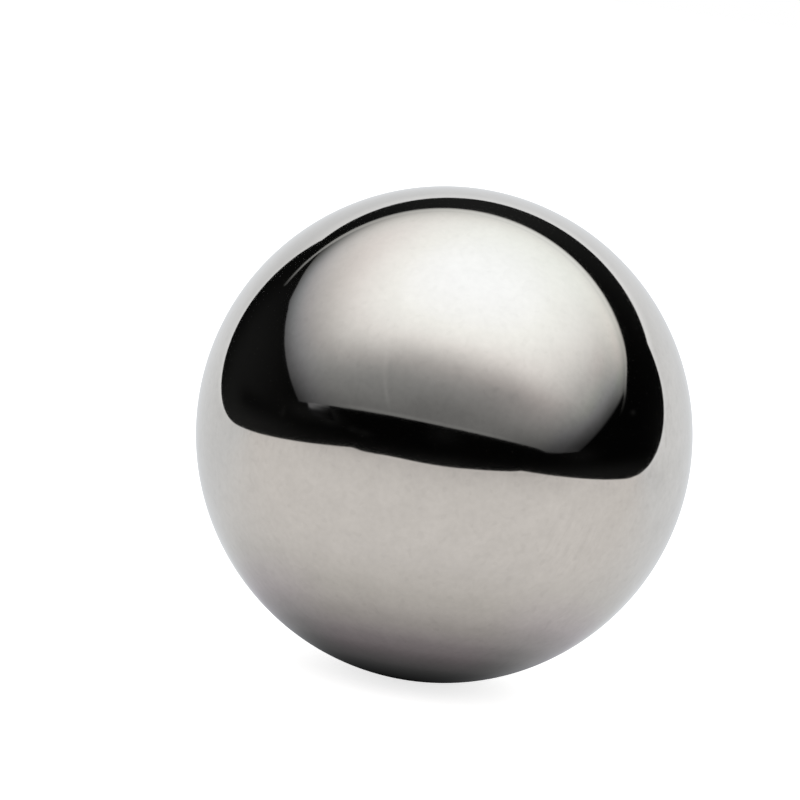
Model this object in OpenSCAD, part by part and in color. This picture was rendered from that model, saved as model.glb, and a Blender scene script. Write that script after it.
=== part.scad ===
// Steel ball: one solid sphere, ground and lapped to a mirror finish.
// Millimetres, +Z up, with the origin at the centre of the ball.

/* [Ball] */
// Diameter of the ball
ball_d = 25.4; // [3:0.1:100]

/* [Hidden] */

// Bare polished steel, a little warmer than a neutral grey
steel = [0.75, 0.73, 0.71];
// Facets that a great circle is drawn with on screen
$fn = 180;

// The ball is whole and solid: it has no flat, seam, bore or centre mark.
module ball() {
    color(steel)
        sphere(d = ball_d);
}

ball();
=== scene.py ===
"""Polished steel ball on a table-top studio set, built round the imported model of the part."""

import math
from typing import NamedTuple

import bpy
from bpy.props import FloatProperty, FloatVectorProperty, IntProperty, PointerProperty
from mathutils import Euler, Matrix, Vector


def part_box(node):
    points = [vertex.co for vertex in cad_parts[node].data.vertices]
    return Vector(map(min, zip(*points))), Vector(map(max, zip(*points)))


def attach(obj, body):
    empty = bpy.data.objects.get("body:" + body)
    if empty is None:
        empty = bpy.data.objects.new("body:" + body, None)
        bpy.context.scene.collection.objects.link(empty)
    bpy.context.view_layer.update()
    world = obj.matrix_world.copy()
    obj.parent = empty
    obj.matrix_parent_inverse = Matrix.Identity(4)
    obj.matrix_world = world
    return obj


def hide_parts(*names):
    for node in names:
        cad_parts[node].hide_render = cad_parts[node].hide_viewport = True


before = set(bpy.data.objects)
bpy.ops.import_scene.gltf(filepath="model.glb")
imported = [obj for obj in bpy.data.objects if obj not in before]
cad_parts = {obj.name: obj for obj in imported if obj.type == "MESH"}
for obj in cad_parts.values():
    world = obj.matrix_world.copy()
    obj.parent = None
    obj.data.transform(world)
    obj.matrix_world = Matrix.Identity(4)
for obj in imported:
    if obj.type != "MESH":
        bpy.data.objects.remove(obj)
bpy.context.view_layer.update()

bl_info = {
    "name": "Polished steel ball",
    "version": (1, 0, 0),
    "blender": (4, 5, 0),
    "location": "View3D > Sidebar > Steel ball",
    "description": "Builds a lapped steel ball and the small studio set that it mirrors",
    "category": "Add Mesh",
}

MM = 0.001
BALL_LOW, BALL_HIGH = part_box("ball")
BALL_CENTRE = (BALL_LOW + BALL_HIGH) / 2
BALL_DIAMETER = BALL_HIGH.x - BALL_LOW.x


# ---------------------------------------------------------------- settings


class BallSettings(bpy.types.PropertyGroup):
    """Sizes and finish of the ball"""

    diameter: FloatProperty(
        name="Diameter",
        description="Diameter of the ball, as packed",
        default=BALL_DIAMETER,
        min=0.001,
        unit="LENGTH",
    )
    cuts: IntProperty(
        name="Cuts",
        description="Rows of faces along each side of the cube that is rounded into the ball",
        default=120,
        min=8,
        max=180,
    )
    steel_colour: FloatVectorProperty(
        name="Steel colour",
        description="Share of light that bare steel mirrors when seen head on",
        default=(0.56, 0.53, 0.495),
        size=3,
        min=0.0,
        max=1.0,
        subtype="COLOR",
    )
    lapping_depth: FloatProperty(
        name="Lapping depth",
        description="Depth of the finest marks that lapping and wiping leave",
        default=0.02 * MM,
        min=0.0,
        unit="LENGTH",
    )


class StudioSettings(bpy.types.PropertyGroup):
    """Camera, paper and diffuser round the ball"""

    camera_elevation: FloatProperty(
        name="Camera elevation",
        description="Angle of the camera above the horizon",
        default=math.radians(8.1),
        subtype="ANGLE",
    )
    camera_roll: FloatProperty(
        name="Camera roll",
        description="Turn of the camera about its own axis; the vertical leans to the right",
        default=math.radians(8.5),
        subtype="ANGLE",
    )
    camera_distance: FloatProperty(
        name="Camera distance",
        description="From the camera to the centre of the ball",
        default=178 * MM,
        unit="LENGTH",
    )
    ball_share: FloatProperty(
        name="Ball share",
        description="Width of the ball as a share of the picture's width",
        default=0.6215,
        min=0.1,
        max=1.0,
        subtype="FACTOR",
    )
    paper_level: FloatProperty(
        name="Paper level",
        description="Brightness of the sheet under the ball where it is best lit, where 1 is white",
        default=0.94,
        min=0.0,
        soft_max=1.5,
    )
    diffuser_level: FloatProperty(
        name="Diffuser level",
        description="Brightness of the diffuser, as a share of its own plain level",
        default=1.0,
        min=0.0,
        soft_max=2.0,
    )
    room_level: FloatProperty(
        name="Room level",
        description="Brightness of the dark room, as a share of its own plain level",
        default=1.0,
        min=0.0,
        soft_max=5.0,
    )


# ---------------------------------------------------------------- node helpers


class Tree:
    """Short calls for adding and wiring the nodes of one tree."""

    def __init__(self, tree):
        self.tree = tree

    def add(self, kind, **settings):
        """Adds a node with its plain settings."""
        node = self.tree.nodes.new(kind)
        for key, value in settings.items():
            setattr(node, key, value)
        return node

    def wire(self, source, target):
        self.tree.links.new(source, target)

    def give(self, socket, value):
        """Wires an input to another node's output, or sets it to a plain value."""
        if isinstance(value, bpy.types.NodeSocket):
            self.wire(value, socket)
        else:
            socket.default_value = value

    def set(self, node, **values):
        """Gives named inputs their values; a space in a socket's name is written _ here."""
        for key, value in values.items():
            self.give(node.inputs[key.replace("_", " ")], value)
        return node

    def place(self, group, **values):
        """Places a node group with the values of its inputs, and returns its outputs."""
        return self.set(self.add("ShaderNodeGroup", node_tree=group), **values).outputs

    def math(self, operation, *values):
        """A calculation with plain values."""
        return self.fill(self.add("ShaderNodeMath", operation=operation), values)

    def vector(self, operation, *values):
        """A calculation with vectors."""
        return self.fill(self.add("ShaderNodeVectorMath", operation=operation), values)

    def fill(self, node, values):
        """Gives the node's inputs their values in order, and returns its first output."""
        for socket, value in zip(node.inputs, values):
            self.give(socket, value)
        return node.outputs[0]


def new_group(name, inputs, outputs):
    """An empty shader node group with named float or vector sockets."""
    group = bpy.data.node_groups.new(name, "ShaderNodeTree")
    for label, kind, value in inputs:
        socket = group.interface.new_socket(name=label, in_out="INPUT", socket_type=kind)
        socket.default_value = value
    for label, kind in outputs:
        group.interface.new_socket(name=label, in_out="OUTPUT", socket_type=kind)
    tree = Tree(group)
    return group, tree, tree.add("NodeGroupInput").outputs, tree.add("NodeGroupOutput").inputs


def new_material(name):
    """A new material, its tree and its shader."""
    material = bpy.data.materials.new(name)
    material.use_nodes = True
    tree = Tree(material.node_tree)
    return material, tree, material.node_tree.nodes["Principled BSDF"]


def object_spot(tree):
    """The place on the piece that is being shaded."""
    return tree.add("ShaderNodeTexCoord").outputs["Object"]


def split(tree, vector):
    """X, Y and Z of a vector."""
    node = tree.add("ShaderNodeSeparateXYZ")
    tree.wire(vector, node.inputs[0])
    return node.outputs


def noise(tree, spot, scale, **values):
    """Soft noise from 0 to 1."""
    node = tree.add("ShaderNodeTexNoise")
    return tree.set(node, Vector=spot, Scale=scale, **values).outputs["Fac"]


def step(tree, value, low, high):
    """0 at one value and 1 at another, with a soft change between."""
    node = tree.add("ShaderNodeMapRange", interpolation_type="SMOOTHSTEP")
    tree.set(node, Value=value, From_Min=low, From_Max=high)
    return node.outputs["Result"]


def slope(tree, value, given, wanted):
    """A straight change from one pair of values to another, level beyond both ends."""
    node = tree.add("ShaderNodeMapRange")
    tree.set(node, Value=value, From_Min=given[0], From_Max=given[1], To_Min=wanted[0], To_Max=wanted[1])
    return node.outputs["Result"]


def between(tree, factor, value_a, value_b):
    """A mix of two plain values: the first where the factor is 0, the second where it is 1."""
    node = tree.add("ShaderNodeMix", data_type="FLOAT")
    return tree.set(node, Factor=factor, A=value_a, B=value_b).outputs["Result"]


def blend(tree, factor, colour_a, colour_b):
    """The same mix of two colours."""
    node = tree.add("ShaderNodeMix", data_type="RGBA")
    tree.wire(factor, node.inputs["Factor"])
    for socket, colour in ((node.inputs["A"], colour_a), (node.inputs["B"], colour_b)):
        tree.give(socket, colour if isinstance(colour, bpy.types.NodeSocket) else (*colour, 1.0))
    return node.outputs["Result"]


def swing(tree, value, width):
    """Turns noise, which goes from 0 to 1, into noise that goes as far under 0 as over it."""
    return tree.math("MULTIPLY_ADD", value, width, -width / 2)


# ---------------------------------------------------------------- shared effects

# Patches of wipe marks start where their noise is at the first value, and are full at the second.
PATCH_EDGE = (0.45, 0.7)


def wipe_marks_group():
    """Long faint strokes: fine noise drawn out along one direction, and broad patches of it."""
    group, tree, given, result = new_group(
        "Wipe marks",
        [
            ("Vector", "NodeSocketVector", (0.0, 0.0, 0.0)),
            ("Turn", "NodeSocketVector", (0.0, 0.0, 0.0)),
            ("Stroke width", "NodeSocketFloat", 0.25 * MM),
            ("Stretch", "NodeSocketFloat", 16.0),
            ("Patch size", "NodeSocketFloat", 6 * MM),
        ],
        [("Strokes", "NodeSocketFloat"), ("Patches", "NodeSocketFloat")],
    )
    turned = tree.add("ShaderNodeVectorRotate", rotation_type="EULER_XYZ")
    tree.set(turned, Vector=given["Vector"], Rotation=given["Turn"])
    squeeze = tree.add("ShaderNodeCombineXYZ")
    tree.set(squeeze, X=1.0, Y=tree.math("DIVIDE", 1.0, given["Stretch"]), Z=1.0)
    drawn_out = tree.vector("MULTIPLY", turned.outputs[0], squeeze.outputs[0])
    per_stroke = tree.math("DIVIDE", 1.0, given["Stroke width"])
    tree.wire(noise(tree, drawn_out, per_stroke, Detail=2.0, Roughness=0.5), result["Strokes"])
    per_patch = tree.math("DIVIDE", 1.0, given["Patch size"])
    patch = noise(tree, turned.outputs[0], per_patch, Detail=1.0)
    tree.wire(step(tree, patch, *PATCH_EDGE), result["Patches"])
    return group


def wiped_spot_group():
    """1 at one place on the ball, fading to 0 over a short way round it."""
    group, tree, given, result = new_group(
        "Wiped spot",
        [
            ("Vector", "NodeSocketVector", (0.0, 0.0, 0.0)),
            ("Place", "NodeSocketVector", (0.0, 0.0, 0.0)),
            ("Inner", "NodeSocketFloat", 1 * MM),
            ("Outer", "NodeSocketFloat", 3 * MM),
        ],
        [("Spot", "NodeSocketFloat")],
    )
    away = tree.vector("DISTANCE", given["Vector"], given["Place"]).node.outputs["Value"]
    tree.wire(step(tree, away, given["Outer"], given["Inner"]), result["Spot"])
    return group


def light_pool_group():
    """A soft oval pool of light over X and Y, with its own reach on each of its four sides.

    Lean slants it to the right as it goes away, and Power hardens its left and right edges.
    """
    group, tree, given, result = new_group(
        "Light pool",
        [
            ("Vector", "NodeSocketVector", (0.0, 0.0, 0.0)),
            ("Strength", "NodeSocketFloat", 1.0),
            ("Centre X", "NodeSocketFloat", 0.0),
            ("Centre Y", "NodeSocketFloat", 0.0),
            ("Left", "NodeSocketFloat", 1.0),
            ("Right", "NodeSocketFloat", 1.0),
            ("Near", "NodeSocketFloat", 1.0),
            ("Far", "NodeSocketFloat", 1.0),
            ("Lean", "NodeSocketFloat", 0.0),
            ("Power", "NodeSocketFloat", 2.0),
        ],
        [("Level", "NodeSocketFloat")],
    )

    def share(offset, below, above):
        """How far out an offset is, as a share of the reach on its own side."""
        is_above = tree.math("GREATER_THAN", offset, 0.0)
        reach = tree.math("MULTIPLY_ADD", is_above, tree.math("SUBTRACT", above, below), below)
        return tree.math("ABSOLUTE", tree.math("DIVIDE", offset, reach))

    x, y, _ = split(tree, given["Vector"])
    along = tree.math("SUBTRACT", y, given["Centre Y"])
    across = tree.math("SUBTRACT", x, given["Centre X"])
    across = tree.math("SUBTRACT", across, tree.math("MULTIPLY", along, given["Lean"]))
    sideways = tree.math("POWER", share(across, given["Left"], given["Right"]), given["Power"])
    lengthways = tree.math("POWER", share(along, given["Near"], given["Far"]), 2.0)
    total = tree.math("ADD", sideways, lengthways)
    fall_off = tree.math("EXPONENT", tree.math("MULTIPLY", total, -1.0))
    tree.wire(tree.math("MULTIPLY", fall_off, given["Strength"]), result["Level"])
    return group


def bearing_group():
    """Compass bearing and height above the horizon, in degrees: X is 0 ahead and + to the right."""
    group, tree, given, result = new_group(
        "Bearing", [("Vector", "NodeSocketVector", (0.0, 0.0, 0.0))], [("Bearing", "NodeSocketVector")]
    )
    x, y, z = split(tree, tree.vector("NORMALIZE", given["Vector"]))
    turn = tree.math("DEGREES", tree.math("ARCTAN2", x, tree.math("MULTIPLY", y, -1.0)))
    rise = tree.math("DEGREES", tree.math("ARCSINE", z))
    both = tree.add("ShaderNodeCombineXYZ")
    tree.wire(tree.set(both, X=turn, Y=rise).outputs[0], result["Bearing"])
    return group


# ---------------------------------------------------------------- ball


def rounded_cube_tree():
    """Geometry Nodes: a gridded cube whose points are pushed out to one radius."""
    tree = bpy.data.node_groups.new("Rounded cube ball", "GeometryNodeTree")
    face = tree.interface
    face.new_socket(name="Geometry", in_out="INPUT", socket_type="NodeSocketGeometry")
    radius = face.new_socket(name="Radius", in_out="INPUT", socket_type="NodeSocketFloat")
    cuts = face.new_socket(name="Cuts", in_out="INPUT", socket_type="NodeSocketInt")
    finish = face.new_socket(name="Finish", in_out="INPUT", socket_type="NodeSocketMaterial")
    face.new_socket(name="Geometry", in_out="OUTPUT", socket_type="NodeSocketGeometry")
    build = Tree(tree)
    given = build.add("NodeGroupInput").outputs
    rows = build.math("ADD", given["Cuts"], 1.0)
    cube = build.add("GeometryNodeMeshCube")
    build.set(cube, Size=(2.0, 2.0, 2.0), Vertices_X=rows, Vertices_Y=rows, Vertices_Z=rows)
    # The tangent sets the rows of the cube at even angles, so that the ball's faces keep near one size.
    even = build.vector("SCALE", build.add("GeometryNodeInputPosition").outputs[0])
    even.node.inputs["Scale"].default_value = math.pi / 4
    outward = build.vector("NORMALIZE", build.vector("TANGENT", even))
    place = build.vector("SCALE", outward)
    build.wire(given["Radius"], place.node.inputs["Scale"])
    moved = build.add("GeometryNodeSetPosition")
    build.set(moved, Geometry=cube.outputs["Mesh"], Position=place)
    smooth = build.add("GeometryNodeSetShadeSmooth")
    build.set(smooth, Geometry=moved.outputs[0])
    real = build.add("GeometryNodeRealizeInstances")
    build.set(real, Geometry=smooth.outputs[0])
    dressed = build.add("GeometryNodeSetMaterial")
    build.set(dressed, Geometry=real.outputs[0], Material=given["Finish"])
    build.wire(dressed.outputs[0], build.add("NodeGroupOutput").inputs["Geometry"])
    return tree, radius.identifier, cuts.identifier, finish.identifier


# How far the steel's colour goes either way from its plain one.
TONE_SPREAD = 0.10
# What moves it there: the sizes of a fine mottle, of clouds and of dark specks, and how strong each is.
MOTTLE_SIZE = 0.3 * MM
MOTTLE_SWING = 0.5
CLOUD_SIZE = 1.2 * MM
CLOUD_SWING = 0.7
SPECK_SIZE = 0.4 * MM
SPECK_SHIFT = (5 * MM, 0.0, 0.0)
SPECK_EDGE = (0.66, 0.76)
SPECK_DARK = 0.16
# All three are weaker at the top of the ball: between these heights over its centre they gain.
TONE_HEIGHTS = (9 * MM, 3 * MM)
TONE_AT_TOP = 0.6
TONE_GAIN = 0.45
# The one place where the strokes of a wipe show: on the ball's front, low on the right, and the two
# directions that their width and their length are turned to.
WIPED_PLACE = Vector((6.7, -10.3, -2.8)) * MM
WIPED_INNER = 0.8 * MM
WIPED_OUTER = 2.6 * MM
WIPED_RIGHT = Vector((0.80, 0.58, -0.10))
WIPED_ALONG = Vector((0.33, -0.02, 0.94))
STROKE_WIDTH = 0.22 * MM
STROKE_STRETCH = 8.0
STROKE_SWING = 0.9
# Haze of the mirror, which goes with the mottle, and what fine wipe marks all over the ball add to it.
HAZE_EDGE = (0.3, 0.7)
HAZE = (0.038, 0.048)
MARK_TURN = (0.4, 0.2, 0.9)
MARK_WIDTH = 0.3 * MM
MARK_PATCH = 5 * MM
MARK_HAZE = 0.01
MARK_BUMP = 0.02


def stroke_turn(right, along):
    """Turn that lays the given directions on X and Y."""
    along = along.normalized()
    outward = right.cross(along).normalized()
    return Matrix((along.cross(outward), along, outward)).to_euler()


def steel_material(settings):
    """Lapped steel: an even mirror with the faintest haze, mottle, specks and wipe marks."""
    material, tree, shader = new_material("lapped_steel")
    spot = object_spot(tree)
    mottle = noise(tree, spot, 1 / MOTTLE_SIZE, Detail=2.0, Roughness=0.6)
    cloud = noise(tree, spot, 1 / CLOUD_SIZE, Detail=2.0, Roughness=0.6)
    grit = noise(tree, tree.vector("ADD", spot, SPECK_SHIFT), 1 / SPECK_SIZE, Detail=0.0)
    tone = tree.math("ADD", swing(tree, mottle, MOTTLE_SWING), swing(tree, cloud, CLOUD_SWING))
    specks = tree.math("MULTIPLY", step(tree, grit, *SPECK_EDGE), SPECK_DARK)
    tone = tree.math("SUBTRACT", tone, specks)
    height = split(tree, spot)["Z"]
    strength = tree.math("MULTIPLY_ADD", step(tree, height, *TONE_HEIGHTS), TONE_GAIN, TONE_AT_TOP)
    # The steel's plain colour is halfway between the two that are blended.
    tone = tree.math("MULTIPLY_ADD", tone, strength, 0.5)
    wipes, area = wipe_marks_group(), wiped_spot_group()
    turn = stroke_turn(WIPED_RIGHT, WIPED_ALONG)
    wiped = tree.place(wipes, Vector=spot, Turn=turn, Stroke_width=STROKE_WIDTH, Stretch=STROKE_STRETCH)
    shown = tree.place(area, Vector=spot, Place=WIPED_PLACE, Inner=WIPED_INNER, Outer=WIPED_OUTER)
    stroke = tree.math("MULTIPLY", swing(tree, wiped["Strokes"], STROKE_SWING), shown["Spot"])
    tone = tree.math("ADD", tone, stroke)
    steel = Vector(settings.steel_colour)
    colour = blend(tree, tone, steel * (1 - TONE_SPREAD), steel * (1 + TONE_SPREAD))
    marks = tree.place(wipes, Vector=spot, Turn=MARK_TURN, Stroke_width=MARK_WIDTH, Patch_size=MARK_PATCH)
    haze = slope(tree, mottle, HAZE_EDGE, HAZE)
    rough = tree.math("MULTIPLY_ADD", marks["Patches"], MARK_HAZE, haze)
    tree.set(shader, Base_Color=colour, Metallic=1.0, Roughness=rough)
    strokes = tree.math("MULTIPLY", marks["Strokes"], marks["Patches"])
    bump = tree.add("ShaderNodeBump")
    tree.set(bump, Strength=MARK_BUMP, Distance=settings.lapping_depth, Height=strokes)
    tree.set(shader, Normal=bump.outputs["Normal"])
    return material


class STEELBALL_OT_make_ball(bpy.types.Operator):
    """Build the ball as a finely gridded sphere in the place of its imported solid"""

    bl_idname = "steel_ball.make_ball"
    bl_label = "Make ball"

    def execute(self, context):
        settings = context.scene.steel_ball
        tree, radius, cuts, finish = rounded_cube_tree()
        seed = bpy.data.objects.new("ball_seed", bpy.data.meshes.new("ball_seed"))
        context.collection.objects.link(seed)
        modifier = seed.modifiers.new("Rounded cube", "NODES")
        modifier.node_group = tree
        modifier[radius] = settings.diameter / 2
        modifier[cuts] = settings.cuts
        modifier[finish] = steel_material(settings)
        graph = context.evaluated_depsgraph_get()
        mesh = bpy.data.meshes.new_from_object(seed.evaluated_get(graph))
        bpy.data.objects.remove(seed)
        mesh.transform(Matrix.Translation(BALL_CENTRE))
        mesh.name = "polished_ball"
        ball = bpy.data.objects.new("polished_ball", mesh)
        context.collection.objects.link(ball)
        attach(ball, "root")
        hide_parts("ball")
        return {"FINISHED"}


# ---------------------------------------------------------------- studio set


def stage_object(context, name, mesh, material, **seen_by):
    """A stage mesh that only the named kinds of ray see."""
    mesh.materials.append(material)
    thing = bpy.data.objects.new(name, mesh)
    context.collection.objects.link(thing)
    kinds = ("camera", "diffuse", "glossy", "transmission", "volume_scatter", "shadow")
    for kind in kinds:
        setattr(thing, "visible_" + kind, seen_by.get(kind, False))
    return thing


def grid_mesh(name, rows):
    """A smooth sheet through rows of points that all have the same length."""
    width = len(rows[0])
    points = [point for row in rows for point in row]
    faces = []
    for j in range(len(rows) - 1):
        for i in range(width - 1):
            at = j * width + i
            faces.append((at, at + 1, at + width + 1, at + width))
    mesh = bpy.data.meshes.new(name)
    mesh.from_pydata(points, [], faces)
    mesh.shade_smooth()
    return mesh


class Oval(NamedTuple):
    """One light pool: its strength and centre, and how far it reaches left and right, near and far."""

    strength: float
    at: tuple
    sides: tuple
    ends: tuple
    lean: float = 0.0
    power: float = 2.0


def add_pools(tree, group, spot, ovals, unit=1.0):
    """Sum of several light pools, whose centres and reaches are given in one unit of length."""
    total = None
    for oval in ovals:
        x, y, left, right, near, far = (value * unit for value in (*oval.at, *oval.sides, *oval.ends))
        places = {"Centre_X": x, "Centre_Y": y, "Left": left, "Right": right, "Near": near, "Far": far}
        shape = {"Strength": oval.strength, "Lean": oval.lean, "Power": oval.power}
        level = tree.place(group, Vector=spot, **places, **shape)["Level"]
        total = level if total is None else tree.math("ADD", total, level)
    return total


def glow(material, tree, shader, level, tint):
    """Makes a matt black surface shine at a level and in a tint of its own."""
    colour = tree.vector("SCALE", tint)
    tree.wire(level, colour.node.inputs["Scale"])
    tree.set(shader, Base_Color=(0, 0, 0, 1), Roughness=1.0, Specular_IOR_Level=0.0)
    tree.set(shader, Emission_Color=colour, Emission_Strength=1.0)
    material.cycles.emission_sampling = "NONE"
    return material


NEUTRAL = (1.0, 1.0, 1.0)


# ---------------------------------------------------------------- paper


class Cove(NamedTuple):
    """One side of the bend: where it leaves the floor, how it bends and leans, and how long it is."""

    start: float
    radius: float
    lean: float
    length: float


# The sheet under the ball, in its own directions: its sides, the points of its wavy near edge, and
# the cove behind the ball, whose two sides bend with different radii.
PAPER_TURN = math.radians(-4.6)
PAPER_LEFT = -92 * MM
PAPER_RIGHT = 135.5 * MM
NEAR_RIGHT = 129.5 * MM
NEAR_EDGE = ((-92, -132.5), (-69, -126), (-41, -142), (22, -132), (55, -136.5), (100, -140), (130, -151))
COVE_LEFT = Cove(start=12 * MM, radius=79 * MM, lean=math.radians(69), length=143.2 * MM)
COVE_RIGHT = Cove(start=9 * MM, radius=114 * MM, lean=math.radians(64), length=156 * MM)
# The far edge sags in its middle, and both sides belly sideways where the bend starts.
FAR_SAG = 1.6 * MM
BELLY_LEFT = -2.9 * MM
BELLY_RIGHT = 2.3 * MM
BELLY_DEPTH = 20 * MM
BELLY_REACH = 20 * MM
# How far in from its left, right and far edges the standing part of the sheet catches more light.
RIM_LEFT = 11.5 * MM
RIM_RIGHT = 18 * MM
RIM_FAR = 20 * MM
RIM_GAIN = 0.16
# Share of the way up by which its sides catch it in full.
RIM_START = 0.25


def cove_point(cove, along):
    """Depth and height of the sheet at a run along it from where it leaves the floor."""
    bend = min(along / cove.radius, cove.lean)
    straight = max(along - cove.radius * cove.lean, 0.0)
    depth = cove.start + cove.radius * math.sin(bend) + straight * math.cos(cove.lean)
    height = cove.radius * (1 - math.cos(bend)) + straight * math.sin(cove.lean)
    return depth, height


def near_edge(across):
    """Depth of the sheet's near edge, which waves from point to point."""
    for (x0, y0), (x1, y1) in zip(NEAR_EDGE, NEAR_EDGE[1:]):
        share = (across / MM - x0) / (x1 - x0)
        if share <= 1.0:
            break
    share = min(max(share, 0.0), 1.0)
    return (y0 + (y1 - y0) * share**2 * (3 - 2 * share)) * MM


def rim_share(across, run):
    """1 on the edge of the standing sheet and 0 away from it; run is 0 at the floor, 1 at the top."""
    from_left = (across - PAPER_LEFT) / RIM_LEFT
    from_right = (PAPER_RIGHT - across) / RIM_RIGHT
    from_far = COVE_LEFT.length * (1 - run) / RIM_FAR
    return max(0.0, 1 - min(from_left, from_right, from_far)) * min(1.0, run / RIM_START)


def paper_mesh(floor):
    """The sheet, flat on the floor and then up its cove, with the share of rim light at each point."""
    rows, rim = [], []
    flat_rows, cove_rows, columns = 24, 48, 47
    for j in range(flat_rows + cove_rows + 1):
        row = []
        for i in range(columns + 1):
            share = i / columns
            across = PAPER_LEFT + (PAPER_RIGHT - PAPER_LEFT) * share
            if j <= flat_rows:
                run = j / flat_rows
                start = COVE_LEFT.start + (COVE_RIGHT.start - COVE_LEFT.start) * share
                across += (NEAR_RIGHT - PAPER_RIGHT) * share * (1 - run)
                near = near_edge(across)
                point = Vector((across, near + (start - near) * run, floor))
                rim.append(0.0)
            else:
                run = (j - flat_rows) / cove_rows
                sag = FAR_SAG * 4 * share * (1 - share)
                left = Vector((across, *cove_point(COVE_LEFT, (COVE_LEFT.length - sag) * run)))
                right = Vector((across, *cove_point(COVE_RIGHT, (COVE_RIGHT.length - sag) * run)))
                point = left.lerp(right, share) + Vector((0, 0, floor))
                rim.append(rim_share(across, run))
            belly = BELLY_LEFT + (BELLY_RIGHT - BELLY_LEFT) * share
            point.x += belly * math.exp(-(((point.y - BELLY_DEPTH) / BELLY_REACH) ** 2))
            row.append(point)
        rows.append(row)
    mesh = grid_mesh("paper_sweep", rows)
    mesh.attributes.new("rim", "FLOAT", "POINT").data.foreach_set("value", rim)
    return mesh


# Light on the flat part of the sheet: it grows from the front on, and is weaker off to the sides.
FRONT_REACH = (-112 * MM, -30 * MM)
FRONT_LEVELS = (0.81, 1.003)
SIDE_REACH = (40 * MM, 90 * MM)
SIDE_LOSS = 0.052
# The cove's own light takes over within this height of the floor.
COVE_TAKES_OVER = 12 * MM
# It is one level low on the bend and another one high on it, both brighter to the right, and it grows
# once more at the top. Heights are over the centre of the ball.
LOW_LEVEL = 1.0
LOW_GAIN = 0.05
LOW_REACH = (40 * MM, 75 * MM)
HIGH_LEVEL = 0.925
HIGH_GAIN = 0.115
HIGH_REACH = (-20 * MM, 70 * MM)
BEND_HEIGHTS = (8 * MM, 42 * MM)
TOP_HEIGHTS = (52 * MM, 70 * MM)
TOP_GAIN = 0.06
# Share of the light that reaches the paper, by distance in mm from the point that the ball stands on.
FOOT_REACH = 24 * MM
FOOT_SHADE = (
    (2, 0.0), (4.8, 0.065), (6.8, 0.2), (8.5, 0.375), (11, 0.635), (14, 0.825), (17.5, 0.945), (22.5, 1.0),
)
# Shade behind the ball, fainter shade on both sides of it, and a band of it further up the sheet.
BALL_SHADE = (
    Oval(0.2, at=(-3, 34), sides=(34, 32), ends=(33, 36)),
    Oval(0.05, at=(-11, 2), sides=(6, 6), ends=(10, 8)),
    Oval(0.06, at=(15, 8), sides=(7, 9), ends=(6, 7)),
    Oval(0.055, at=(2, 72), sides=(38, 46), ends=(16, 12)),
)
# Painted light on the paper: light that slips in under the ball from both sides, light on the sheet's
# front and right edges, which curl up to the light while the mesh stays flat, and paler patches of painted
# light.
PAPER_GLEAMS = (
    Oval(0.13, at=(7, 0.5), sides=(3.5, 2.5), ends=(3.5, 5)),
    Oval(0.085, at=(-7.5, 0.5), sides=(2.5, 3), ends=(3.5, 5)),
    Oval(0.07, at=(20, -136), sides=(500, 500), ends=(20, 16)),
    Oval(0.1, at=(132, -85), sides=(16, 20), ends=(70, 70)),
    Oval(0.06, at=(92, -76), sides=(22, 20), ends=(22, 20)),
    Oval(0.045, at=(25, 7), sides=(7, 14), ends=(5, 7)),
    Oval(0.028, at=(48, 22), sides=(20, 28), ends=(9, 14)),
    Oval(0.034, at=(-29, 1), sides=(16, 7), ends=(8, 18)),
    Oval(0.04, at=(4, 98), sides=(30, 26), ends=(8, 10)),
)
# The paper is warm in front of the ball and cool behind it; the line between slants away on the right.
WARM = (1.007, 1.0, 1.0)
COOL = (0.967, 1.0, 1.037)
COOL_SLANT = 0.25
COOL_REACH = (-15 * MM, 12 * MM)
# Tints of the shaded paper by distance from the foot in mm: in front and behind, and off to the sides.
FOOT_TINTS = (
    (4.2, (0.966, 1.0, 1.028)),
    (6.6, (1.078, 1.0, 1.084)),
    (7.8, (1.066, 1.0, 1.075)),
    (9.8, (1.02, 1.0, 1.003)),
    (12.5, (1.003, 1.0, 0.988)),
    (18, NEUTRAL),
)
SIDE_FOOT_TINTS = ((5.5, (0.985, 1.0, 1.03)), (11, (1.03, 1.0, 1.05)), (16, NEUTRAL))
# How far round to the side the second takes over, where 0 is straight ahead and 1 is fully sideways.
SIDE_TURN = (0.5, 0.95)


def colour_ramp(tree, value, top, stops):
    """Colour ramp over a value from 0 to the top, with its stops in the same unit."""
    ramp = tree.add("ShaderNodeValToRGB")
    tree.wire(tree.math("DIVIDE", value, top), ramp.inputs["Fac"])
    elements = ramp.color_ramp.elements
    while len(elements) < len(stops):
        elements.new(1.0)
    for element, (place, colour) in zip(elements, stops):
        element.position = place / top
        element.color = (*colour, 1.0)
    return ramp


def foot_ramp(tree, from_foot, stops):
    """Colour ramp over the distance from the ball's foot, with its stops in mm."""
    return colour_ramp(tree, from_foot, FOOT_REACH, [(out * MM, colour) for out, colour in stops])


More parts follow.
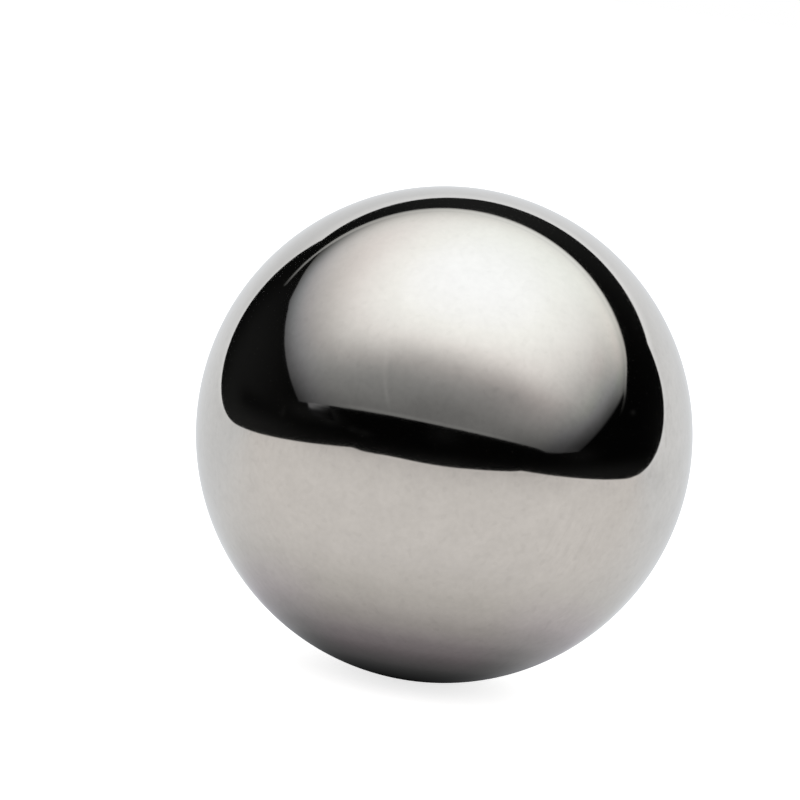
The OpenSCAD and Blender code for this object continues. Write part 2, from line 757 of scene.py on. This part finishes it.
def paper_material(settings, floor, pool):
    """White paper: dimmer to the front and sides, shaded under the ball, brighter up the cove."""
    # All of the paper's light and shade, the shadow under the ball too, is painted into its glow.
    material, tree, shader = new_material("white_paper")
    spot = object_spot(tree)
    across, depth, height = split(tree, spot)
    aside = tree.math("ABSOLUTE", across)
    front = slope(tree, depth, FRONT_REACH, FRONT_LEVELS)
    flat = tree.math("MULTIPLY_ADD", step(tree, aside, *SIDE_REACH), -SIDE_LOSS, front)
    low = tree.math("MULTIPLY_ADD", step(tree, across, *LOW_REACH), LOW_GAIN, LOW_LEVEL)
    high = tree.math("MULTIPLY_ADD", step(tree, across, *HIGH_REACH), HIGH_GAIN, HIGH_LEVEL)
    bend = between(tree, step(tree, height, *BEND_HEIGHTS), low, high)
    cove = tree.math("MULTIPLY_ADD", step(tree, height, *TOP_HEIGHTS), TOP_GAIN, bend)
    plain = between(tree, step(tree, height, floor, floor + COVE_TAKES_OVER), flat, cove)
    # The ball stands in the light: the paper darkens towards the point that it stands on.
    on_floor = tree.vector("MULTIPLY", spot, (1.0, 1.0, 0.0))
    from_foot = tree.vector("LENGTH", on_floor).node.outputs["Value"]
    shade = foot_ramp(tree, from_foot, [(out, (lit,) * 3) for out, lit in FOOT_SHADE])
    shade.color_ramp.interpolation = "CARDINAL"
    behind = tree.math("SUBTRACT", 1.0, add_pools(tree, pool, spot, BALL_SHADE, MM))
    level = tree.math("MULTIPLY", plain, shade.outputs["Color"])
    level = tree.math("MULTIPLY", level, behind)
    rim = tree.add("ShaderNodeAttribute", attribute_name="rim").outputs["Fac"]
    level = tree.math("MULTIPLY", level, tree.math("MULTIPLY_ADD", rim, RIM_GAIN, 1.0))
    level = tree.math("ADD", level, add_pools(tree, pool, spot, PAPER_GLEAMS, MM))
    level = tree.math("MULTIPLY", level, settings.paper_level)
    right_side = tree.math("MAXIMUM", across, 0.0)
    slant = tree.math("MULTIPLY_ADD", right_side, -COOL_SLANT, depth)
    tint = blend(tree, step(tree, slant, *COOL_REACH), WARM, COOL)
    sideways = step(tree, tree.math("DIVIDE", aside, from_foot), *SIDE_TURN)
    in_front = foot_ramp(tree, from_foot, FOOT_TINTS).outputs["Color"]
    at_sides = foot_ramp(tree, from_foot, SIDE_FOOT_TINTS).outputs["Color"]
    tint = tree.vector("MULTIPLY", tint, blend(tree, sideways, in_front, at_sides))
    return glow(material, tree, shader, level, tint)


# ---------------------------------------------------------------- diffuser

# The diffuser over the set: a taut cloth whose far edge is up and hangs on a rail. Outlines are in
# its own plane in mm, X to the right and Y away from the camera.
DIFFUSER_CENTRE = Vector((59, -5.5, 75)) * MM
DIFFUSER_TURN = (math.radians(28.0), math.radians(1.1), math.radians(-12.3))
CLOTH = (
    # Its near edge from the left, and its right side, which curls away; the outline lies flat.
    (-212.5, -121), (-190, -121), (-140, -119.9), (-80, -118.6), (78, -119), (108, -122.5), (150, -117),
    (182, -109.5), (232, -98), (256, -90), (248, -50), (235, 40), (224, 96),
    # Its far edge, along the rail, and its left side.
    (188, 101.5), (164, 107.5), (138, 111.5), (100, 112), (-100, 111.5), (-150, 113.5), (-210.5, 112),
    (-211, 60), (-211.5, 34), (-218.5, 20), (-213.5, 4),
)
# The rail in its sleeve, and the tab at the cloth's near left corner; both lie a little under the cloth.
RAIL = (
    # Its near side from the left.
    (-211, 95), (-180, 89), (-100, 90), (100, 94), (150, 93), (176, 87), (205, 84), (248, 84), (272, 76),
    (300, 65), (335, 62),
    # Back along its far side, out to the tip of its left end.
    (335, 98), (270, 105), (236, 104.3), (212, 102), (188, 101.5), (164, 107.8), (140, 115.5), (118, 118),
    (60, 117.3), (0, 117), (-40, 118.6), (-135, 119.3), (-165, 116.5), (-190, 113.5), (-223, 112.5),
    (-247, 117), (-271, 119), (-295, 125), (-325, 133), (-348, 143),
    # And in again along the near side of that end.
    (-325, 122), (-312, 112), (-295, 104), (-271, 101), (-247, 98),
)
TAB = ((-185, -119.6), (-186, -124), (-190, -128), (-190, -141), (-144, -141), (-142, -118.6))
TRIM_DROP = 1 * MM
# The cloth lies flat, and its light fades where its right side curls away, between two lines that bow out
# at both ends.
CURL_MIDDLE = 60 * MM
CURL_BOW = 1.1
CURL_IN = 198 * MM
CURL_OUT = 233.5 * MM
# Two broad pools of light on the cloth, and a hot one.
LAMP_POOLS = (
    Oval(0.72, at=(-65, -17), sides=(118, 195), ends=(87, 200), lean=0.08, power=3.2),
    Oval(0.73, at=(-8, 68), sides=(133, 140), ends=(72, 48), lean=0.94, power=2.25),
)
HOT_POOL = (Oval(0.98, at=(-55, -41), sides=(58, 78), ends=(35, 72), lean=0.15, power=2.5),)
# A flag cuts the hot pool off in front, softly between two lines that lean a little.
FLAG_LEAN = 0.06
FLAG_START = -85 * MM
FLAG_END = -51.5 * MM
# What makes the cloth uneven: creases and dabs on its near part, its bright near hem, and soft patches.
CLOTH_MARKS = (
    Oval(0.05, at=(-80.3, -98), sides=(1.4, 1.3), ends=(12, 13), lean=-0.1),
    Oval(0.028, at=(-81.3, -72), sides=(1.5, 1.5), ends=(16, 16)),
    Oval(-0.03, at=(-78.3, -78), sides=(1.2, 2), ends=(9, 8)),
    Oval(-0.06, at=(-44.4, -71.5), sides=(2.4, 2.4), ends=(2.4, 2.4)),
    Oval(-0.035, at=(-41, -77), sides=(2.4, 2.4), ends=(3.5, 3)),
    Oval(-0.05, at=(-19.3, -76.4), sides=(2.4, 2.4), ends=(2.4, 2.4)),
    Oval(-0.045, at=(-6, -76), sides=(3.5, 4), ends=(4, 6)),
    Oval(0.064, at=(-48, -116.5), sides=(75, 78), ends=(2.5, 1.6), power=6),
    Oval(0.018, at=(-60, -119), sides=(150, 120), ends=(6, 8)),
    Oval(0.02, at=(195, -102), sides=(45, 50), ends=(20, 14)),
    Oval(0.026, at=(-212, -62), sides=(20, 20), ends=(40, 32)),
    Oval(0.02, at=(-206, 62), sides=(14, 14), ends=(22, 14)),
    Oval(0.016, at=(150, -112), sides=(35, 20), ends=(8, 7)),
    Oval(0.09, at=(-55, 86), sides=(60, 72), ends=(9, 9)),
    Oval(-0.025, at=(-80, 50), sides=(22, 22), ends=(28, 28)),
    Oval(-0.02, at=(-62, -74), sides=(22, 22), ends=(6, 6)),
    Oval(0.022, at=(225, -20), sides=(45, 60), ends=(120, 120)),
    Oval(0.045, at=(185, 62), sides=(45, 28), ends=(24, 34)),
    Oval(-0.052, at=(224, 72), sides=(10, 14), ends=(9, 10)),
    Oval(-0.04, at=(82, 20), sides=(34, 34), ends=(26, 24)),
    Oval(-0.02, at=(148, -48), sides=(25, 20), ends=(25, 25)),
    Oval(-0.014, at=(108, -82), sides=(25, 25), ends=(30, 26)),
    Oval(-0.034, at=(-44, -98), sides=(30, 28), ends=(12, 13)),
    Oval(0.04, at=(-50, -60), sides=(34, 24), ends=(12, 13)),
    Oval(-0.038, at=(-16, -66), sides=(12, 18), ends=(20, 20)),
    Oval(0.024, at=(36, -76), sides=(30, 35), ends=(25, 22)),
    Oval(0.05, at=(-128, 56), sides=(26, 22), ends=(40, 34)),
    Oval(0.045, at=(-54, -55), sides=(16, 18), ends=(8, 8)),
    Oval(0.05, at=(12, -3), sides=(16, 20), ends=(16, 14)),
    Oval(0.04, at=(68, -27), sides=(14, 14), ends=(18, 16)),
    Oval(-0.036, at=(-121, -63), sides=(10, 12), ends=(9, 9)),
    Oval(0.022, at=(-49, -79), sides=(14, 14), ends=(5, 6)),
    Oval(0.025, at=(-14, -113), sides=(26, 26), ends=(10, 7)),
)
# Light on the sleeve of the rail, its dim patch on the left and its paler hems, and on the tab.
TRIM_POOLS = (
    Oval(0.76, at=(-5, 102.5), sides=(115, 103), ends=(70, 9), power=2.4),
    Oval(0.49, at=(0, 104), sides=(283, 208), ends=(70, 500), power=6),
    Oval(-0.23, at=(-160, 119), sides=(25, 42), ends=(10, 12)),
    Oval(0.09, at=(122, 113), sides=(22, 22), ends=(8, 10)),
    Oval(0.04, at=(-60, 90), sides=(60, 60), ends=(5, 4)),
    Oval(-0.065, at=(20, 102), sides=(50, 35), ends=(6, 6)),
    Oval(0.022, at=(268, 90), sides=(40, 42), ends=(18, 18)),
    Oval(0.14, at=(-178, -123.5), sides=(12, 20), ends=(4.4, 14)),
    Oval(0.04, at=(-181, -125), sides=(4, 5), ends=(3.5, 4)),
    Oval(0.12, at=(-158, -119.5), sides=(17, 17), ends=(2.5, 3)),
    Oval(0.013, at=(-178, -136), sides=(28, 28), ends=(10, 12)),
)
# Colour of the cloth and its trim by how bright they are, up to the level at the ramp's end.
LAMP_TOP = 2.0
LAMP_TINTS = (
    (0.35, (0.962, 1.0, 1.025)),
    (0.6, (0.99, 1.0, 1.01)),
    (1.25, (0.985, 1.0, 1.01)),
    (1.6, (0.958, 1.0, 1.012)),
    (1.85, (0.94, 1.0, 1.075)),
)
# The cloth is yellower far from the camera and to the right, over this stretch of a line that leans.
FAR_TINT = (0.99, 1.0, 0.978)
FAR_LEAN = 0.3
FAR_REACH = (0.0, 80 * MM)
# It is bluer at both sides of its middle line, except along the rail.
SIDE_TINT = (1.0, 1.0, 1.05)
SIDE_MIDDLE = -25 * MM
SIDE_SPAN = (95 * MM, 155 * MM)
SIDE_DEPTHS = (85 * MM, 25 * MM)
# Where the cloth is redder than its level gives it, or less red; and where it is bluer, or yellower.
CLOTH_REDS = (
    Oval(0.042, at=(22, -76), sides=(65, 48), ends=(24, 22)),
    Oval(-0.035, at=(85, -15), sides=(40, 30), ends=(40, 35)),
    Oval(0.035, at=(56, 2), sides=(20, 18), ends=(24, 20)),
    Oval(-0.024, at=(-12, 40), sides=(90, 42), ends=(52, 60)),
    Oval(-0.02, at=(5, 96), sides=(100, 60), ends=(16, 24)),
    Oval(0.03, at=(80, 65), sides=(40, 35), ends=(20, 14)),
    Oval(-0.045, at=(138, 54), sides=(22, 24), ends=(24, 18)),
    Oval(0.034, at=(-112, 8), sides=(30, 28), ends=(50, 40)),
    Oval(-0.03, at=(-195, 10), sides=(40, 24), ends=(50, 50)),
)
CLOTH_BLUES = (
    Oval(-0.045, at=(98, -33), sides=(22, 20), ends=(22, 26)),
    Oval(-0.055, at=(138, 56), sides=(22, 24), ends=(18, 18)),
    Oval(0.03, at=(95, -84), sides=(20, 24), ends=(20, 12)),
    Oval(0.018, at=(-20, 98), sides=(110, 60), ends=(24, 24)),
)


def flat_mesh(name, outlines, height=0.0):
    """Flat panels, one for each outline, at one height over their plane."""
    points, faces = [], []
    for outline in outlines:
        faces.append(tuple(range(len(points), len(points) + len(outline))))
        points += [(x * MM, y * MM, height) for x, y in outline]
    mesh = bpy.data.meshes.new(name)
    mesh.from_pydata(points, [], faces)
    return mesh


def lamp_tint(tree, pool, spot, level):
    """Colour of the cloth: it goes by its level, and drifts a little from place to place."""
    across, depth, _ = split(tree, spot)
    by_level = colour_ramp(tree, level, LAMP_TOP, LAMP_TINTS).outputs["Color"]
    far_right = tree.math("MULTIPLY_ADD", across, FAR_LEAN, depth)
    drift = blend(tree, step(tree, far_right, *FAR_REACH), NEUTRAL, FAR_TINT)
    aside = tree.math("ABSOLUTE", tree.math("SUBTRACT", across, SIDE_MIDDLE))
    sides = tree.math("MULTIPLY", step(tree, aside, *SIDE_SPAN), step(tree, depth, *SIDE_DEPTHS))
    tint = tree.vector("MULTIPLY", drift, blend(tree, sides, NEUTRAL, SIDE_TINT))
    patches = tree.add("ShaderNodeCombineXYZ")
    red = tree.math("ADD", add_pools(tree, pool, spot, CLOTH_REDS, MM), 1.0)
    blue = tree.math("ADD", add_pools(tree, pool, spot, CLOTH_BLUES, MM), 1.0)
    tree.set(patches, X=red, Y=1.0, Z=blue)
    tint = tree.vector("MULTIPLY", tint, patches.outputs[0])
    return tree.vector("MULTIPLY", by_level, tint)


def diffuser_material(settings, pool):
    """A cloth lit from behind: two broad pools, and a hot one that a flag cuts off in front."""
    material, tree, shader = new_material("diffuser_cloth")
    spot = object_spot(tree)
    across, depth, _ = split(tree, spot)
    flag_line = tree.math("MULTIPLY_ADD", across, -FLAG_LEAN, depth)
    flag = step(tree, flag_line, FLAG_START, FLAG_END)
    hot = tree.math("MULTIPLY", add_pools(tree, pool, spot, HOT_POOL, MM), flag)
    level = tree.math("ADD", add_pools(tree, pool, spot, LAMP_POOLS, MM), hot)
    level = tree.math("ADD", level, add_pools(tree, pool, spot, CLOTH_MARKS, MM))
    # Its light fades along a bowed line where the right side curls away; the cloth itself lies flat.
    from_middle = tree.math("SUBTRACT", depth, CURL_MIDDLE)
    bow = tree.math("MULTIPLY", from_middle, from_middle)
    curl_line = tree.math("MULTIPLY_ADD", bow, -CURL_BOW, across)
    level = tree.math("MULTIPLY", level, step(tree, curl_line, CURL_OUT, CURL_IN))
    level = tree.math("MULTIPLY", level, settings.diffuser_level)
    return glow(material, tree, shader, level, lamp_tint(tree, pool, spot, level))


def trim_material(settings, pool):
    """The rail's sleeve along the far edge, and the tab under the near left corner."""
    material, tree, shader = new_material("diffuser_trim")
    spot = object_spot(tree)
    level = add_pools(tree, pool, spot, TRIM_POOLS, MM)
    level = tree.math("MULTIPLY", level, settings.diffuser_level)
    return glow(material, tree, shader, level, lamp_tint(tree, pool, spot, level))


# ---------------------------------------------------------------- dark room

# How far off the walls are, and how bright and of what tint they are where nothing lights them.
ROOM_REACH = 3.0
ROOM_BASE = 0.0015
ROOM_TINT = (0.95, 1.0, 1.02)
# Painted light on the walls of the dark room, by bearing and height in degrees: on the left wall, the
# bench round the sheet, a glow beside the tab, small glints in front, the right wall, and the wall over
# the cove on both sides of its seam; the one with negative strength is a patch of painted shade.
ROOM_POOLS = (
    Oval(0.0115, at=(-118, 7), sides=(16, 34), ends=(30, 25)),
    Oval(-0.006, at=(-105, -0.5), sides=(6, 16), ends=(3, 3)),
    Oval(0.006, at=(-66, 4), sides=(11, 9), ends=(3, 3)),
    Oval(0.011, at=(-98, -9), sides=(42, 52), ends=(10, 6)),
    Oval(0.0095, at=(78, -4), sides=(32, 42), ends=(3, 3)),
    Oval(0.008, at=(-8, -5.5), sides=(40, 40), ends=(4, 3.5)),
    Oval(0.009, at=(-54.5, 7.2), sides=(5, 3.2), ends=(3.4, 3)),
    Oval(0.005, at=(-51.5, 4), sides=(6, 5), ends=(2.5, 3)),
    Oval(0.0055, at=(-41.5, 2.6), sides=(2.6, 2.2), ends=(1.4, 1.2)),
    Oval(0.0055, at=(-36, 2.2), sides=(3, 3.5), ends=(1.4, 1.2)),
    Oval(0.0055, at=(-79, 0.8), sides=(1.4, 1.2), ends=(1.6, 1.8)),
    Oval(0.011, at=(98.9, 13.9), sides=(1.6, 1.6), ends=(0.75, 0.75), lean=-0.67),
    Oval(0.004, at=(0, 8), sides=(7, 7), ends=(4, 4)),
    Oval(0.004, at=(66, 3), sides=(10, 8), ends=(3, 3)),
    Oval(0.004, at=(122, 3), sides=(12, 20), ends=(20, 8)),
    Oval(0.017, at=(180, 38), sides=(40, 40), ends=(30, 30)),
    Oval(0.017, at=(-180, 38), sides=(40, 29), ends=(30, 30)),
)


def room_mesh():
    """The walls of a dark room, far off: a smooth shell all round the set."""
    around, up = 64, 32
    rows = []
    for j in range(up + 1):
        rise = math.pi * (j / up - 0.5)
        ring, lift = ROOM_REACH * math.cos(rise), ROOM_REACH * math.sin(rise)
        turns = [math.tau * i / around for i in range(around + 1)]
        rows.append([(ring * math.cos(turn), ring * math.sin(turn), lift) for turn in turns])
    return grid_mesh("dark_room", rows)


def room_material(settings, pool):
    """Near-black walls with a few faint patches of light."""
    material, tree, shader = new_material("dark_room")
    bearing = tree.place(bearing_group(), Vector=object_spot(tree))["Bearing"]
    level = add_pools(tree, pool, bearing, ROOM_POOLS)
    level = tree.math("ADD", level, ROOM_BASE)
    level = tree.math("MULTIPLY", level, settings.room_level)
    return glow(material, tree, shader, level, ROOM_TINT)


# ---------------------------------------------------------------- floor, light and camera

# The floor is a wide square, sunk a little under the paper. FLOOR_TONES are the two of its faint
# grain, and FLOOR_LIFT is the light of its own, off and on.
FLOOR_HALF = 3.0
FLOOR_SUNK = 0.02 * MM
FLOOR_GRAIN = 90.0
FLOOR_TONES = ((0.74, 0.74, 0.74), (0.76, 0.76, 0.76))
FLOOR_LIFT = ((0.0, 0.0, 0.0), (0.75, 0.75, 0.75))


def floor_material():
    """Pale floor: matt white that keeps the ball's soft shadow, and pure white to the camera."""
    material, tree, shader = new_material("pale_floor")
    tone = blend(tree, noise(tree, object_spot(tree), FLOOR_GRAIN), *FLOOR_TONES)
    tree.set(shader, Base_Color=tone, Roughness=1.0, Specular_IOR_Level=0.0)
    # White to every ray that looks at it; the ball itself mirrors the paper that lies there instead.
    rays = tree.add("ShaderNodeLightPath").outputs
    mirrored = tree.math("MAXIMUM", rays["Is Glossy Ray"], rays["Is Transmission Ray"])
    looked_at = tree.math("MAXIMUM", rays["Is Camera Ray"], mirrored)
    tree.set(shader, Emission_Color=blend(tree, looked_at, *FLOOR_LIFT), Emission_Strength=1.0)
    return material


def floor_mesh(height):
    """One wide square at a height."""
    signs = ((-1, -1), (1, -1), (1, 1), (-1, 1))
    mesh = bpy.data.meshes.new("floor")
    mesh.from_pydata([(x * FLOOR_HALF, y * FLOOR_HALF, height) for x, y in signs], [], [(0, 1, 2, 3)])
    return mesh


def white_world(scene):
    """Even white light from every side."""
    world = bpy.data.worlds.new("soft_white_room")
    world.use_nodes = True
    background = world.node_tree.nodes["Background"]
    background.inputs["Color"].default_value = (1.0, 1.0, 1.0, 1.0)
    background.inputs["Strength"].default_value = 1.0
    scene.world = world


# Where the ball's centre falls in the picture, from the middle, as shares of the picture's width.
AIM_RIGHT = 0.05506
AIM_DOWN = 0.04294
# The width of the camera's sensor in mm, and how near and how far it sees.
SENSOR_WIDTH = 36.0
CLIP_START, CLIP_END = 0.01, 10.0


def place_camera(context, settings):
    """A long lens a little above the ball, rolled, and aimed so that the ball is off centre."""
    elevation, roll = settings.camera_elevation, settings.camera_roll
    distance, radius = settings.camera_distance, BALL_DIAMETER / 2
    data = bpy.data.cameras.new("camera")
    data.sensor_width = SENSOR_WIDTH
    spread = radius / math.sqrt(distance**2 - radius**2)
    data.lens = SENSOR_WIDTH * settings.ball_share / 2 / spread
    data.clip_start, data.clip_end = CLIP_START, CLIP_END
    camera = bpy.data.objects.new("camera", data)
    context.collection.objects.link(camera)
    to_ball = Vector((0.0, math.cos(elevation), -math.sin(elevation)))
    level_up = Vector((0.0, math.sin(elevation), math.cos(elevation)))
    right = Vector((math.cos(roll), 0.0, 0.0)) + level_up * math.sin(roll)
    up = Vector((-math.sin(roll), 0.0, 0.0)) + level_up * math.cos(roll)
    per_width = SENSOR_WIDTH / data.lens
    ahead = (to_ball - right * AIM_RIGHT * per_width + up * AIM_DOWN * per_width).normalized()
    across = ahead.cross(up).normalized()
    axes = Matrix((across, across.cross(ahead), -ahead)).transposed()
    camera.matrix_world = Matrix.LocRotScale(BALL_CENTRE - to_ball * distance, axes.to_quaternion(), None)
    context.scene.camera = camera


class STEELBALL_OT_make_studio(bpy.types.Operator):
    """Set up the floor, the paper sweep, the diffuser, the dark room, the light and the camera"""

    bl_idname = "steel_ball.make_studio"
    bl_label = "Make studio"

    def execute(self, context):
        settings = context.scene.steel_ball_studio
        floor = BALL_LOW.z
        lit = {"camera": True, "diffuse": True, "shadow": True, "transmission": True}
        stage_object(context, "floor", floor_mesh(floor - FLOOR_SUNK), floor_material(), **lit)
        pool = light_pool_group()
        paper_look = paper_material(settings, floor, pool)
        paper = stage_object(context, "paper", paper_mesh(floor), paper_look, glossy=True)
        paper.rotation_euler.z = PAPER_TURN
        cloth_mesh = flat_mesh("diffuser_cloth", [CLOTH])
        cloth_look = diffuser_material(settings, pool)
        cloth = stage_object(context, "diffuser", cloth_mesh, cloth_look, glossy=True)
        trim_mesh = flat_mesh("diffuser_trim", [RAIL, TAB], -TRIM_DROP)
        trim_look = trim_material(settings, pool)
        trim = stage_object(context, "diffuser_trim", trim_mesh, trim_look, glossy=True)
        for sheet in (cloth, trim):
            sheet.location = DIFFUSER_CENTRE
            sheet.rotation_euler = Euler(DIFFUSER_TURN)
        stage_object(context, "dark_room", room_mesh(), room_material(settings, pool), glossy=True)
        white_world(context.scene)
        place_camera(context, settings)
        context.scene.view_settings.view_transform = "Standard"
        return {"FINISHED"}


# ---------------------------------------------------------------- sidebar and registration


class STEELBALL_PT_sidebar(bpy.types.Panel):
    """The ball and its studio"""

    bl_label = "Steel ball"
    bl_idname = "STEELBALL_PT_sidebar"
    bl_space_type = "VIEW_3D"
    bl_region_type = "UI"
    bl_category = "Steel ball"

    def draw(self, context):
        layout = self.layout
        for settings, operator in (
            (context.scene.steel_ball, STEELBALL_OT_make_ball),
            (context.scene.steel_ball_studio, STEELBALL_OT_make_studio),
        ):
            box = layout.box()
            for name in settings.bl_rna.properties.keys():
                if name not in {"rna_type", "name"}:
                    box.prop(settings, name)
            box.operator(operator.bl_idname)


CLASSES = (
    BallSettings,
    StudioSettings,
    STEELBALL_OT_make_ball,
    STEELBALL_OT_make_studio,
    STEELBALL_PT_sidebar,
)


def register():
    """Adds the classes and the two sets of settings."""
    for cls in CLASSES:
        bpy.utils.register_class(cls)
    bpy.types.Scene.steel_ball = PointerProperty(type=BallSettings)
    bpy.types.Scene.steel_ball_studio = PointerProperty(type=StudioSettings)


def unregister():
    """Takes them away again."""
    del bpy.types.Scene.steel_ball_studio
    del bpy.types.Scene.steel_ball
    for cls in reversed(CLASSES):
        bpy.utils.unregister_class(cls)


def main():
    """Builds the ball and its studio."""
    register()
    bpy.ops.steel_ball.make_ball()
    bpy.ops.steel_ball.make_studio()


if __name__ == "__main__":
    main()
